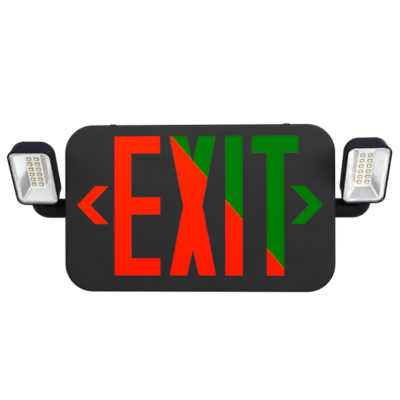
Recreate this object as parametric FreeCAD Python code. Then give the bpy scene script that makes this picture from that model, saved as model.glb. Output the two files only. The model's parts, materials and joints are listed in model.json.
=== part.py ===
"""Emergency exit light: a stencil sign box with two adjustable lamp heads.

Millimetres. +X is to the reader's right, +Z is up and +Y points into the wall, so the
legend faces -Y. The origin is the centre of the box's back face, on the wall plane.
"""
import FreeCAD, Part
import math
import os

V = FreeCAD.Vector

# Sign box
box_width = 296.4
box_height = 183.5
box_depth = 48.0
corner_radius = 31.0
wall = 2.5                 # side walls of the housing and the cover
back_thickness = 2.5
face_thickness = 2.5       # stencil plate
cover_depth = 10.0         # how far the cover's skirt reaches back
face_edge_radius = 3.5
back_edge_radius = 1.5
seam_chamfer = 0.4         # each side of the seam between cover and housing

# Light lip that runs inside the housing wall, behind the seam
lip_thickness = 1.25
lip_reach = 2.5
lip_gap = 0.25
lip_relief = 2.0           # lip's end to the socket of an arm

# Snap latches between cover and housing, a pair above and a pair below
latch_inset = 52.4         # middle of a latch to the box's side
latch_width = 10.0
latch_thickness = 1.6
latch_gap = 0.3
latch_reach = 10.0         # how far a hook reaches behind the seam
latch_nose = 0.9           # how far its nose enters the pocket
latch_nose_length = 3.0
pocket_depth = 1.3
pocket_margin = 0.5        # free length at each end of a nose
pad_height = 1.6           # raised pad over each upper pocket
pad_width = 13.0
pad_ramp = 4.0

# Legend: block capitals and a chevron at each side
letter_margin = 15.55      # box's upper and lower edges to the word, before its lift
word_left_room = 55.1      # box's left side to the word
word_right_room = 40.1
stroke = 18.7
letter_gap = 10.55
word_lift = 2.75
x_notch = 28.4             # depth of the notches of the X
x_waist = 20.8
chevron_height = 41.3
chevron_width = 34.8
chevron_stroke = 15.1
chevron_margin = 13.7      # tip to the box's side
chevron_lift = 3.6
split_top = -30.1          # where the red and green panels meet, at the word's top
split_bottom = 98.6        # and at its foot

# Coloured panels, diffuser and the posts that carry them
panel_thickness = 1.5
diffuser_thickness = 1.0
panel_margin = 2.5         # panel edge to the cover's inner wall
panel_post_radius = 1.5
panel_post_inset_x = 19.4  # box's side to a post
panel_post_inset_z = 23.0
panel_post_end = 1.0       # post beyond its push nut
hole_clearance = 0.2
push_nut_radius = 4.0
push_nut_thickness = 0.8

# White tray behind the light chamber, with the legend's circuit strips
tray_side_gap = 17.4       # box's side to the tray
tray_top_gap = 9.0
tray_thickness = 1.2
tray_fold_radius = 2.4
tray_standoff = 25.7       # housing's floor to the tray's back
tray_gap = 0.3             # flange edge to the diffuser
tray_post_inset = 20.0     # tray's edges to a post
tray_post_radius = 4.0
strip_end_gap = 5.0        # tray's side to the end of a strip
strip_front_gap = 2.7      # flange's front edge to a strip
strip_rear_gap = 0.6
strip_thickness = 1.2
strip_led_count = 12
strip_led_size = (3.5, 2.8, 0.8)

# Screws
screw_radius = 1.25
screw_head_radius = 2.6
screw_head_height = 1.6
screw_length = 8.0
pilot_clearance = 0.05
overcut = 1.0              # how far a cutting shape runs past the face that it opens

# Main board and what stands on it
board_side_gap = 47.4      # box's right side to the board
board_foot_gap = 8.5       # housing's lower wall to the board
board_width = 82.0
board_height = 62.0
board_thickness = 1.6
board_inset = 5.0          # board's edges to its fixing holes
board_screw_bite = 3.0     # thread of a board screw in its standoff
standoff_height = 5.0
standoff_radius = 3.0
transformer_size = (34.0, 15.5, 26.0)
transformer_coil = (20.0, 12.0)
transformer_side_gap = 11.0    # board's right edge to the core
transformer_top_gap = 9.0      # board's top edge to the coil
coil_step = 1.5            # the coil lies this far behind the core's front
coil_round = 2.0
# for each can: its axis left of the transformer, and below the board's top; radius; height
capacitor_cans = ((23.0, 24.0, 5.0, 14.0), (11.0, 24.0, 5.0, 14.0), (23.0, 38.0, 4.0, 11.0))
capacitor_round = 0.6
relay_size = (16.0, 10.0, 12.0)
relay_round = 0.8
relay_gap = 10.0           # board's edges to the relay
terminal_size = (18.0, 8.0, 9.0)
terminal_ways = 3
terminal_side_gap = 11.0   # board's left edge to the terminals
terminal_top_gap = 3.0
terminal_well_radius = 1.9
terminal_well_depth = 3.0
terminal_mouth_depth = 2.0

# Standby battery: three cells side by side in one wrap, under a strap
cell_radius = 7.2
cell_length = 50.0
cell_count = 3
battery_inset = 67.4       # box's left side to the middle of the pack
battery_rise = 58.5        # housing's lower wall to the middle of the pack
battery_web = 5.76         # sleeve between two cells, from their plane
strap_width = 12.0
strap_thickness = 1.2
strap_gap = 0.2
strap_foot = 8.0
strap_boss_radius = 3.5
strap_boss_height = 4.0

# Test button and pilot lamp in the underside
button_from_board = 42.0   # board's left edge to the button
button_ahead = 4.9         # board's front to the button's axis
button_radius = 4.5
button_round = 0.5
button_clearance = 0.1
button_travel = 2.0
flange_radius = 5.8
flange_thickness = 1.2
stem_radius = 1.8
running_gap = 0.3          # between parts that move past each other
switch_width = 8.0
switch_height = 7.0
switch_depth = 9.0
actuator_length = 0.9
spring_radius = 3.2
spring_wire = 0.35
spring_turns = 3.25
spring_gap = 0.05
lamp_pitch = 20.0          # button to lamp
lamp_radius = 2.45
lamp_flange_radius = 3.1
lamp_flange_thickness = 1.0
lamp_length = 8.0
lead_radius = 0.35
lead_spacing = 2.54
lead_rise = 2.0            # where the leads turn to the board, above its foot

# Holes in the back
entry_radius = 11.1        # wire entry
fixing_radius = 2.4
round_box_spacing = 88.9   # ceiling or wall box, screws side by side
gang_box_spacing = 83.3    # single wall box, screws one above the other
keyhole_x = 90.0
keyhole_z = 45.0
keyhole_head_radius = 4.5
keyhole_slot_radius = 2.3
keyhole_rise = 8.0

# Lamp arms
arm_behind_seam = 13.0     # seam to the arm's axis
arm_radius = 11.1
leg_offset = 29.9          # swivel axis from the box's side
bend_radius = 7.9
journal_radius = 8.0
journal_clearance = 0.05
socket_wall = 3.5
socket_length = 4.0
washer_thickness = 0.8
washer_radius = 10.5
nut_thickness = 3.5
nut_flat = 11.0            # half the nut's width across its flats
journal_end = 0.5          # journal beyond the nut
wire_bore = 4.0
leg_height = 11.9          # swivel seat above the arm's axis
post_radius = 6.0
post_bore = 3.5
post_end = 0.85            # post beyond its clip
clip_thickness = 1.0
clip_radius = 7.4
clip_groove = 0.6
clip_opening_degrees = 60.0

# Lamp heads
lens_width = 43.8
lens_height = 66.4
lens_radius = 7.05
lens_thickness = 2.0
lens_bevel = 0.8
lens_clearance = 0.1
rim = 2.0
rim_bevel = 0.7
head_depth = 24.0
lens_ahead = 11.0          # lens face from the swivel axis
flare_depth = 10.0
flare_rise = 2.3
head_corner = 15.5
head_back_round = 9.0
head_ledge = 0.9
head_cavity_corner = 9.0
head_back_wall = 2.5
head_cavity_round = 6.0
swivel_boss_radius = 7.8
swivel_length = 4.0
reflector_skin = 1.4
reflector_flange = 1.0
mouth_width = 34.5
mouth_corner = 2.0
mouth_foot = 3.8           # mouth's lower edge above the lens's
mouth_head = 2.6
window_width = 17.0
window_corner = 1.0
window_foot = 13.85
window_head = 7.15
led_depth = 10.5           # lens face to the lamp board
led_board_width = 34.0
led_board_margin = 2.6     # board beyond the window, above and below
led_board_thickness = 1.2
led_rows = 6
led_row_pitch = 6.54
led_column_pitch = 8.16
led_size = (4.6, 1.0, 3.8)
head_screw_radius = 0.95
head_screw_head = 1.8
head_screw_height = 1.0
head_screw_length = 6.0
head_screw_x = 14.6
head_screw_inset = 5.0
head_post_radius = 2.4

# How the lamps are set: tilt forward from upright, and turn about the leg
left_tilt_degrees = 36.9
right_tilt_degrees = 32.7
left_turn_degrees = -0.75
right_turn_degrees = 1.85

# Planes that several pieces share
side_x = box_width / 2
top_z = box_height / 2
seam_y = -(box_depth - cover_depth)
face_back = -box_depth + face_thickness
floor_y = -back_thickness
inner_x = side_x - wall
inner_z = top_z - wall
diffuser_front = face_back + panel_thickness
diffuser_back = diffuser_front + diffuser_thickness
latch_x = side_x - latch_inset
letter_height = box_height - 2 * letter_margin
word_left = -side_x + word_left_room
letter_width = (side_x - word_right_room - word_left - stroke - 3 * letter_gap) / 3
chevron_tip = side_x - chevron_margin
panel_post_x = side_x - panel_post_inset_x
panel_post_z = top_z - panel_post_inset_z
tray_width = box_width - 2 * tray_side_gap
tray_height = box_height - 2 * tray_top_gap
tray_back = floor_y - tray_standoff
tray_front = tray_back - tray_thickness
tray_post_x = tray_width / 2 - tray_post_inset
tray_post_z = tray_height / 2 - tray_post_inset
strip_z = tray_height / 2 - tray_thickness
strip_length = tray_width - 2 * strip_end_gap
strip_front = diffuser_back + tray_gap + strip_front_gap
strip_back = tray_front - strip_rear_gap
board_left = side_x - board_side_gap - board_width
board_foot = -inner_z + board_foot_gap
board_top = board_foot + board_height
board_back = floor_y - standoff_height
board_front = board_back - board_thickness
transformer_left = board_left + board_width - transformer_side_gap - transformer_size[0]
battery_x = -side_x + battery_inset
battery_z = -inner_z + battery_rise
strap_seat = floor_y - strap_boss_height
button_x = board_left + button_from_board
button_y = board_front - button_ahead
lamp_x = button_x + lamp_pitch
arm_depth = -seam_y - arm_behind_seam
leg_x = side_x + leg_offset
socket_end = inner_x - socket_length
washer_x = socket_end - running_gap
nut_x = washer_x - washer_thickness
journal_tip = nut_x - nut_thickness - journal_end
head_foot = leg_height + running_gap
lens_foot = head_foot + rim
lens_mid = lens_foot + lens_height / 2
lens_y = -lens_ahead
swivel_top = head_foot + swivel_length
clip_z = swivel_top + running_gap
window_mid = lens_foot + (window_foot + lens_height - window_head) / 2
window_height = lens_height - window_foot - window_head
board_y = lens_y + led_depth


def rounded_outline(width, height, radius, y, mid_z=0.0):
    """Rounded rectangle in an XZ plane, as one closed wire."""
    arcs = []
    for i, (sx, sz) in enumerate(((1, -1), (1, 1), (-1, 1), (-1, -1))):
        x = sx * (width / 2 - radius)
        z = mid_z + sz * (height / 2 - radius)
        angles = [math.radians(90 * i + part) for part in (-90, -45, 0)]
        arcs.append([V(x + radius * math.cos(a), y, z + radius * math.sin(a)) for a in angles])
    edges = []
    for i, (start, middle, end) in enumerate(arcs):
        edges.append(Part.Arc(start, middle, end).toShape())
        edges.append(Part.LineSegment(end, arcs[(i + 1) % 4][0]).toShape())
    return Part.Wire(edges)


def rounded_slab(width, height, radius, front, back, mid_z=0.0):
    """Rounded rectangle from y = front to y = back."""
    outline = rounded_outline(width, height, radius, front, mid_z)
    return Part.Face(outline).extrude(V(0, back - front, 0))


def face_prism(points, front, back):
    """Prism of an (x, z) outline from y = front to y = back."""
    corners = [V(x, front, z) for x, z in points]
    return Part.Face(Part.makePolygon(corners + corners[:1])).extrude(V(0, back - front, 0))


def block(low, high):
    """Box between two opposite corners."""
    size = high - low
    return Part.makeBox(size.x, size.y, size.z, low)


def rod(radius, start, end):
    return Part.makeCylinder(radius, (end - start).Length, start, end - start)


def joined(shapes):
    whole = shapes[0]
    if len(shapes) > 1:
        whole = whole.fuse(shapes[1:])
    return whole.removeSplitter()


def clearance_holes(radius, places, front, back):
    """Cylinders that cut clearance holes through a sheet between two planes."""
    r = radius + hole_clearance
    return [rod(r, V(x, front - overcut, z), V(x, back + overcut, z)) for x, z in places]


def edges_at(shape, y):
    """Edges that lie in the plane of this y."""
    return [e for e in shape.Edges if all(abs(v.Point.y - y) < 1e-6 for v in e.Vertexes)]


def edges_along(shape, way):
    """Straight edges that run in one direction."""
    return [e for e in shape.Edges if abs(e.tangentAt(e.FirstParameter).dot(way)) > 0.9]


def four(x, z):
    """The four places (+-x, +-z)."""
    return [(sx * x, sz * z) for sx in (1, -1) for sz in (1, -1)]


def screw(x, z, seat, radius=screw_radius, head=screw_head_radius, height=screw_head_height,
          length=screw_length):
    """Pan-head screw driven towards +Y, with its head on the plane y = seat."""
    pan = rod(head, V(x, seat - height, z), V(x, seat, z))
    pan = pan.makeFillet(height * 0.45, edges_at(pan, seat - height))
    return joined([pan, rod(radius, V(x, seat, z), V(x, seat + length, z))])


# --- legend -----------------------------------------------------------------------------

def letter_e(left):
    low = word_lift - letter_height / 2
    high = word_lift + letter_height / 2
    right = left + letter_width
    stem = left + stroke
    bar = (word_lift - stroke / 2, word_lift + stroke / 2)
    return [(left, low), (right, low), (right, low + stroke), (stem, low + stroke),
            (stem, bar[0]), (right, bar[0]), (right, bar[1]), (stem, bar[1]),
            (stem, high - stroke), (right, high - stroke), (right, high), (left, high)]


def letter_x(left):
    low = word_lift - letter_height / 2
    high = word_lift + letter_height / 2
    right = left + letter_width
    mid = left + letter_width / 2
    half = x_waist / 2
    return [(left, low), (left + stroke, low), (mid, low + x_notch), (right - stroke, low),
            (right, low), (mid + half, word_lift), (right, high), (right - stroke, high),
            (mid, high - x_notch), (left + stroke, high), (left, high), (mid - half, word_lift)]


def letter_i(left):
    low = word_lift - letter_height / 2
    high = word_lift + letter_height / 2
    return [(left, low), (left + stroke, low), (left + stroke, high), (left, high)]


def letter_t(left):
    low = word_lift - letter_height / 2
    high = word_lift + letter_height / 2
    right = left + letter_width
    stem = left + (letter_width - stroke) / 2
    return [(stem, low), (stem + stroke, low), (stem + stroke, high - stroke), (right, high - stroke),
            (right, high), (left, high), (left, high - stroke), (stem, high - stroke)]


def chevron(side):
    low = chevron_lift - chevron_height / 2
    high = chevron_lift + chevron_height / 2
    arm = chevron_tip - chevron_width
    outer = arm + chevron_stroke
    points = [(chevron_tip, chevron_lift), (outer, high), (arm, high),
              (chevron_tip - chevron_stroke, chevron_lift), (arm, low), (outer, low)]
    return [(side * x, z) for x, z in points]


def legend_outlines():
    """Outlines of everything that is cut through the face."""
    left = word_left
    outlines = [chevron(-1), chevron(1)]
    for letter, width in ((letter_e, letter_width), (letter_x, letter_width),
                          (letter_i, stroke), (letter_t, letter_width)):
        outlines.append(letter(left))
        left += width + letter_gap
    return outlines


# --- sign box ---------------------------------------------------------------------------

def latch_hook(side):
    """Hook of the cover at the right, above (side 1) or below (side -1)."""
    top = inner_z - latch_gap
    end = seam_y + latch_reach
    tongue = block(V(latch_x - latch_width / 2, face_back - overcut, top - latch_thickness),
                   V(latch_x + latch_width / 2, end, top))
    nose_tip = inner_z + latch_nose
    shoulder = end - latch_nose_length
    profile = [(end, top - latch_thickness), (end, top), (end - latch_nose_length / 3, nose_tip),
               (shoulder, nose_tip), (shoulder, top - latch_thickness)]
    corners = [V(latch_x - latch_width / 2, y, z) for y, z in profile]
    nose = Part.Face(Part.makePolygon(corners + corners[:1])).extrude(V(latch_width, 0, 0))
    hook = joined([tongue, nose])
    return hook if side > 0 else hook.mirror(V(0, 0, 0), V(0, 0, 1))


def latch_pocket(side):
    """Blind pocket in the housing wall that the hook's nose snaps into."""
    end = seam_y + latch_reach
    half = latch_width / 2 + pocket_margin
    pocket = block(V(latch_x - half, end - latch_nose_length - pocket_margin, inner_z - overcut),
                   V(latch_x + half, end + pocket_margin, inner_z + pocket_depth))
    return pocket if side > 0 else pocket.mirror(V(0, 0, 0), V(0, 0, 1))


def latch_pad():
    """Low pad on top of the housing that gives the upper pocket its wall."""
    half = pad_width / 2
    root = top_z - wall / 2
    crest = top_z + pad_height
    points = [(latch_x - half, top_z), (latch_x - half, root), (latch_x + half, root),
              (latch_x + half, top_z), (latch_x + half - pad_ramp, crest),
              (latch_x - half + pad_ramp, crest)]
    end = seam_y + latch_reach + 2 * pocket_margin + wall
    return face_prism(points, seam_y + seam_chamfer, end)


def both_sides(shape):
    """A shape at the right, and its mirror image at the left."""
    return [shape, shape.mirror(V(0, 0, 0), V(1, 0, 0))]


def front_cover():
    cover = rounded_slab(box_width, box_height, corner_radius, -box_depth, seam_y)
    cover = cover.makeFillet(face_edge_radius, edges_at(cover, -box_depth))
    cover = cover.makeChamfer(seam_chamfer, edges_at(cover, seam_y))
    outer = wall + lip_gap
    inset = outer + lip_thickness
    lip = rounded_slab(box_width - 2 * outer, box_height - 2 * outer, corner_radius - outer,
                       seam_y - overcut, seam_y + lip_reach)
    hollow = rounded_slab(box_width - 2 * inset, box_height - 2 * inset, corner_radius - inset,
                          face_back, seam_y + lip_reach)
    notch = journal_radius + socket_wall + lip_relief
    gap = block(V(inner_x - 2 * lip_thickness, seam_y, -notch), V(side_x, seam_y + lip_reach, notch))
    parts = [cover.fuse(lip.cut(Part.makeCompound(both_sides(gap)))).cut(hollow)]
    for side in (1, -1):
        parts += both_sides(latch_hook(side))
    end = diffuser_back + push_nut_thickness + panel_post_end
    for x, z in four(panel_post_x, panel_post_z):
        parts.append(rod(panel_post_radius, V(x, face_back - overcut, z), V(x, end, z)))
    legend = legend_outlines()
    cuts = [face_prism(outline, -box_depth - overcut, face_back + overcut) for outline in legend]
    return joined(parts).cut(cuts)


def through_back(radius, x, z):
    """Cylinder that cuts a round hole through the back."""
    return rod(radius, V(x, floor_y - overcut, z), V(x, overcut, z))


def keyhole(side):
    x = side * keyhole_x
    rise = keyhole_z + keyhole_rise
    r = keyhole_slot_radius
    slot = block(V(x - r, floor_y - overcut, keyhole_z), V(x + r, overcut, rise))
    return joined([through_back(keyhole_head_radius, x, keyhole_z), slot, through_back(r, x, rise)])


def back_holes():
    """Wire entry, box screws and keyholes, all through the back."""
    half_round = round_box_spacing / 2
    half_gang = gang_box_spacing / 2
    holes = [through_back(entry_radius, 0, 0), keyhole(1), keyhole(-1)]
    for x, z in ((half_round, 0), (-half_round, 0), (0, half_gang), (0, -half_gang)):
        holes.append(through_back(fixing_radius, x, z))
    return holes


def through_foot(radius, x):
    """Cylinder that cuts a round hole through the lower wall, in line with the button."""
    return rod(radius, V(x, button_y, -top_z - overcut), V(x, button_y, -inner_z + overcut))


def board_holes():
    """Places of the main board's four fixings."""
    columns = (board_left + board_inset, board_left + board_width - board_inset)
    rows = (board_top - board_inset, board_foot + board_inset)
    return [(x, z) for x in columns for z in rows]


def strap_holes():
    """Places of the battery strap's two screws."""
    reach = cell_count * cell_radius + strap_gap + strap_thickness + strap_foot / 2
    return [(battery_x, battery_z + reach), (battery_x, battery_z - reach)]


def post_with_pilot(x, z, radius, end, depth):
    """Solid post from the housing's floor, and the pilot hole to be cut in it."""
    post = rod(radius, V(x, floor_y + back_thickness / 2, z), V(x, end, z))
    pilot = rod(screw_radius + pilot_clearance, V(x, end - overcut, z), V(x, end + depth, z))
    return post, pilot


def back_housing():
    tray = rounded_slab(box_width, box_height, corner_radius, seam_y, 0)
    tray = tray.makeFillet(back_edge_radius, edges_at(tray, 0))
    tray = tray.makeChamfer(seam_chamfer, edges_at(tray, seam_y))
    tray = tray.cut(rounded_slab(2 * inner_x, 2 * inner_z, corner_radius - wall, seam_y, floor_y))
    parts = [tray] + both_sides(latch_pad())
    cuts = back_holes()
    parts += both_sides(rod(journal_radius + socket_wall, V(socket_end, -arm_depth, 0),
                            V(side_x - wall / 2, -arm_depth, 0)))
    cuts += both_sides(rod(journal_radius + journal_clearance, V(socket_end - overcut, -arm_depth, 0),
                           V(side_x + overcut, -arm_depth, 0)))
    tray_posts = four(tray_post_x, tray_post_z)
    posts = [(x, z, tray_post_radius, tray_back, screw_length) for x, z in tray_posts]
    posts += [(x, z, standoff_radius, board_back, standoff_height - 1) for x, z in board_holes()]
    posts += [(x, z, strap_boss_radius, strap_seat, strap_boss_height) for x, z in strap_holes()]
    for place in posts:
        post, pilot = post_with_pilot(*place)
        parts.append(post)
        cuts.append(pilot)
    for side in (1, -1):
        cuts += both_sides(latch_pocket(side))
    cuts.append(through_foot(button_radius + button_clearance, button_x))
    cuts.append(through_foot(lamp_radius + pilot_clearance, lamp_x))
    return joined(parts).cut(cuts)


# --- panels and light chamber -----------------------------------------------------------

def panel_sheet(front, back):
    """Sheet that fills the cover, with holes for its four posts."""
    inset = wall + lip_gap + lip_thickness + panel_margin
    sheet = rounded_slab(box_width - 2 * inset, box_height - 2 * inset, corner_radius - inset,
                         front, back)
    places = four(panel_post_x, panel_post_z)
    return sheet.cut(clearance_holes(panel_post_radius, places, front, back))


def left_of_split():
    """Everything to the left of the slanting line between the colours."""
    slope = (split_bottom - split_top) / letter_height
    word_top = word_lift + letter_height / 2

    def line(z):
        return (split_top + slope * (word_top - z), z)

    return face_prism([line(top_z), line(-top_z), (-box_width, -top_z), (-box_width, top_z)],
                      face_back, diffuser_front)


def push_nuts():
    end = diffuser_back + push_nut_thickness
    nuts = []
    for x, z in four(panel_post_x, panel_post_z):
        nut = rod(push_nut_radius, V(x, diffuser_back, z), V(x, end, z))
        nuts.append(nut.cut(rod(panel_post_radius, V(x, diffuser_back, z), V(x, end, z))))
    return Part.makeCompound(nuts)


def reflector_tray():
    """Folded white sheet: a back and two flanges, with the fold edges rounded outside."""
    half = tray_width / 2
    front = diffuser_back + tray_gap
    outer = block(V(-half, front, -tray_height / 2), V(half, tray_back, tray_height / 2))
    folds = [e for e in edges_at(outer, tray_back) if e.Length > tray_height]
    outer = outer.makeFillet(tray_fold_radius, folds)
    inner = block(V(-half, front, -strip_z), V(half, tray_front, strip_z))
    places = four(tray_post_x, tray_post_z)
    return outer.cut([inner] + clearance_holes(screw_radius, places, tray_front, tray_back))


def led_strip(side):
    """Circuit strip on a flange's inner face, above (1) or below (-1)."""
    z = sorted((side * strip_z, side * (strip_z - strip_thickness)))
    return block(V(-strip_length / 2, strip_front, z[0]), V(strip_length / 2, strip_back, z[1]))


def strip_leds(side):
    length, depth, height = strip_led_size
    front = (strip_front + strip_back - depth) / 2
    near = strip_z - strip_thickness
    z = sorted((side * near, side * (near - height)))
    pitch = strip_length / strip_led_count
    leds = []
    for i in range(strip_led_count):
        x = (i - (strip_led_count - 1) / 2) * pitch
        leds.append(block(V(x - length / 2, front, z[0]), V(x + length / 2, front + depth, z[1])))
    return Part.makeCompound(leds)


# --- electronics ------------------------------------------------------------------------

def main_board():
    board = block(V(board_left, board_front, board_foot),
                  V(board_left + board_width, board_back, board_top))
    return board.cut(clearance_holes(screw_radius, board_holes(), board_front, board_back))


def transformer():
    """Laminated core with a wound bobbin through it."""
    width, height, length = transformer_size
    coil_width, coil_depth = transformer_coil
    mid_x = transformer_left + width / 2
    mid_z = board_top - transformer_top_gap - length / 2
    front = board_front - height
    core = block(V(transformer_left, front, mid_z - coil_depth / 2),
                 V(transformer_left + width, board_front, mid_z + coil_depth / 2))
    coil = block(V(mid_x - coil_width / 2, front + coil_step, mid_z - length / 2),
                 V(mid_x + coil_width / 2, board_front, mid_z + length / 2))
    return joined([core, coil.makeFillet(coil_round, edges_along(coil, V(0, 0, 1)))])


def capacitors():
    cans = []
    for aside, below, radius, height in capacitor_cans:
        x = transformer_left - aside
        z = board_top - below
        can = rod(radius, V(x, board_front - height, z), V(x, board_front, z))
        cans.append(can.makeFillet(capacitor_round, edges_at(can, board_front - height)))
    return Part.makeCompound(cans)


def relay():
    width, height, length = relay_size
    right = board_left + board_width - relay_gap
    foot = board_foot + relay_gap
    case = block(V(right - width, board_front - height, foot), V(right, board_front, foot + length))
    return case.makeFillet(relay_round, edges_along(case, V(0, 1, 0)))


def terminal_block():
    """Mains terminals: one screw well and one wire mouth for each way."""
    width, height, length = terminal_size
    left = board_left + terminal_side_gap
    top = board_top - terminal_top_gap
    front = board_front - height
    mid = top - length / 2
    mouth_y = board_front - height / 3
    r = terminal_well_radius
    wells = []
    for i in range(terminal_ways):
        x = left + (i + 0.5) * width / terminal_ways
        wells.append(rod(r, V(x, front - overcut, mid), V(x, front + terminal_well_depth, mid)))
        wells.append(rod(r, V(x, mouth_y, top - terminal_mouth_depth), V(x, mouth_y, top + overcut)))
    return block(V(left, front, top - length), V(left + width, board_front, top)).cut(wells)


def test_switch():
    half = switch_width / 2
    case = block(V(button_x - half, board_front - switch_depth, board_foot),
                 V(button_x + half, board_front, board_foot + switch_height))
    actuator = rod(stem_radius, V(button_x, button_y, board_foot - actuator_length),
                   V(button_x, button_y, board_foot + overcut))
    return joined([case, actuator])


def test_button():
    """Button flush with the underside, kept in by a flange inside the wall."""
    def at(z):
        return V(button_x, button_y, z)

    flange = -inner_z + running_gap
    top = board_foot - actuator_length - button_travel - running_gap
    cap = rod(button_radius, at(-top_z), at(flange + flange_thickness / 2))
    rim_edges = [e for e in cap.Edges if abs(e.BoundBox.ZMax + top_z) < 1e-6]
    cap = cap.makeFillet(button_round, rim_edges)
    collar = rod(flange_radius, at(flange), at(flange + flange_thickness))
    return joined([cap, collar, rod(stem_radius, at(flange), at(top))])


def test_button_spring():
    """Coil spring between the button's flange and the switch."""
    low = -inner_z + running_gap + flange_thickness + spring_wire + spring_gap
    high = board_foot - spring_wire
    helix = Part.makeHelix((high - low) / spring_turns, high - low, spring_radius)
    section = Part.Wire(Part.makeCircle(spring_wire, V(spring_radius, 0, 0), V(0, 1, 0)))
    coil = Part.Wire(helix).makePipeShell([section], True, True)
    coil.translate(V(button_x, button_y, low))
    return coil


def charge_lamp():
    """Pilot lamp with a domed tip, a flange inside the wall and two leads to the board."""
    def at(z, x=lamp_x, y=button_y):
        return V(x, y, z)

    top = -top_z + lamp_length
    body = rod(lamp_radius, at(-top_z + lamp_radius), at(top))
    dome = Part.makeSphere(lamp_radius, at(-top_z + lamp_radius))
    flange = rod(lamp_flange_radius, at(-inner_z), at(-inner_z + lamp_flange_thickness))
    parts = [body, dome, flange]
    bend = board_foot + lead_rise
    for x in (lamp_x - lead_spacing / 2, lamp_x + lead_spacing / 2):
        parts.append(rod(lead_radius, at(top - overcut, x), at(bend, x)))
        parts.append(Part.makeSphere(lead_radius, at(bend, x)))
        parts.append(rod(lead_radius, at(bend, x), at(bend, x, board_front)))
    return joined(parts)


def battery_pack():
    """Three cells in a shrink sleeve that follows their outline."""
    left = battery_x - cell_length / 2
    y = floor_y - cell_radius
    rows = [battery_z + (i - (cell_count - 1) / 2) * 2 * cell_radius for i in range(cell_count)]
    cells = [rod(cell_radius, V(left, y, z), V(left + cell_length, y, z)) for z in rows]
    web = block(V(left, y - battery_web, rows[0]), V(left + cell_length, y + battery_web, rows[-1]))
    return joined(cells + [web])


def battery_clip():
    """Strap bent over the pack, with a foot on a boss at each end."""
    left = battery_x - strap_width / 2
    t = strap_thickness
    inner = cell_count * cell_radius + strap_gap
    seat = strap_seat
    crown = floor_y - 2 * cell_radius - strap_gap
    reach = inner + t + strap_foot
    half = [(inner, crown), (inner, seat), (reach, seat), (reach, seat - t), (inner + t, seat - t),
            (inner + t, crown - t)]
    points = half + [(-z, y) for z, y in reversed(half)]
    corners = [V(left, y, battery_z + z) for z, y in points]
    strap = Part.Face(Part.makePolygon(corners + corners[:1])).extrude(V(strap_width, 0, 0))
    return strap.cut(clearance_holes(screw_radius, strap_holes(), seat - t, seat))


# --- lamp arms, drawn for the right-hand lamp with the elbow at the origin ----------------

def arm():
    """Elbow tube with a journal for the box and a swivel post for the head."""
    start = side_x + running_gap - leg_x
    tip = journal_tip - leg_x
    end = clip_z + clip_thickness + post_end
    tube = rod(arm_radius, V(start, 0, 0), V(-bend_radius, 0, 0))
    leg = rod(arm_radius, V(0, 0, bend_radius), V(0, 0, leg_height))
    section = Part.Face(Part.Wire(Part.makeCircle(arm_radius, V(-bend_radius, 0, 0), V(1, 0, 0))))
    keep = block(V(-bend_radius - overcut, -arm_radius, -arm_radius),
                 V(-bend_radius + overcut, arm_radius, bend_radius))
    bend = section.common(keep).Faces[0].revolve(V(-bend_radius, 0, bend_radius), V(0, -1, 0), 90)
    journal = rod(journal_radius, V(tip, 0, 0), V(start, 0, 0))
    post = rod(post_radius, V(0, 0, leg_height), V(0, 0, end))
    groove = ring_z(post_radius + overcut, post_radius - clip_groove, clip_z, clip_z + clip_thickness)
    body = joined([tube, bend, leg, journal, post]).cut(groove)
    wire_way = [rod(wire_bore, V(tip - overcut, 0, 0), V(0, 0, 0)), Part.makeSphere(wire_bore),
                rod(post_bore, V(0, 0, 0), V(0, 0, end + overcut))]
    return body.cut(wire_way)


def ring_z(outer, inner, low, high):
    return rod(outer, V(0, 0, low), V(0, 0, high)).cut(rod(inner, V(0, 0, low), V(0, 0, high)))


def arm_washer():
    x = washer_x - leg_x
    disc = rod(washer_radius, V(x - washer_thickness, 0, 0), V(x, 0, 0))
    return disc.cut(rod(journal_radius, V(x - washer_thickness, 0, 0), V(x, 0, 0)))


def arm_nut():
    x = nut_x - leg_x
    reach = nut_flat / math.cos(math.radians(30))
    corners = [V(x, reach * math.cos(math.radians(60 * i)), reach * math.sin(math.radians(60 * i)))
               for i in range(6)]
    hexagon = Part.Face(Part.makePolygon(corners + corners[:1])).extrude(V(-nut_thickness, 0, 0))
    return hexagon.cut(rod(journal_radius, V(x - nut_thickness, 0, 0), V(x, 0, 0)))


def swivel_clip():
    """Open ring that sits in the post's groove."""
    clip = ring_z(clip_radius, post_radius - clip_groove, clip_z, clip_z + clip_thickness)
    half = math.radians(clip_opening_degrees / 2)
    far = 2 * clip_radius
    corners = [V(0, 0, clip_z), V(far * math.sin(half), far * math.cos(half), clip_z),
               V(-far * math.sin(half), far * math.cos(half), clip_z)]
    wedge = Part.Face(Part.makePolygon(corners + corners[:1])).extrude(V(0, 0, clip_thickness))
    return clip.cut(wedge)


# --- lamp heads, in the same place -----------------------------------------------------------

def head_outer():
    """Rounded box that grows a little taller behind its rim, with a rounded back."""
    width = lens_width + 2 * rim
    height = lens_height + 2 * rim
    mid = lens_mid
    tall = height + flare_rise
    tall_mid = mid + flare_rise / 2
    shoulder_y = lens_y + flare_depth
    end = lens_y + head_depth
    radius = lens_radius + rim
    bevel = rounded_outline(width - 2 * rim_bevel, height - 2 * rim_bevel, radius - rim_bevel, lens_y, mid)
    front = rounded_outline(width, height, radius, lens_y + rim_bevel, mid)
    shoulder = rounded_outline(width, tall, head_corner, shoulder_y, tall_mid)
    back = rounded_slab(width, tall, head_corner, shoulder_y, end, tall_mid)
    back = back.makeFillet(head_back_round, edges_at(back, end))
    flare = Part.makeLoft([front, shoulder], True, True)
    return joined([Part.makeLoft([bevel, front], True, True), flare, back])


def head_screw_places():
    low = window_mid - window_height / 2 - led_board_margin + head_screw_inset
    high = window_mid + window_height / 2 + led_board_margin - head_screw_inset
    return [(x, z) for x in (head_screw_x, -head_screw_x) for z in (low, high)]


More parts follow.
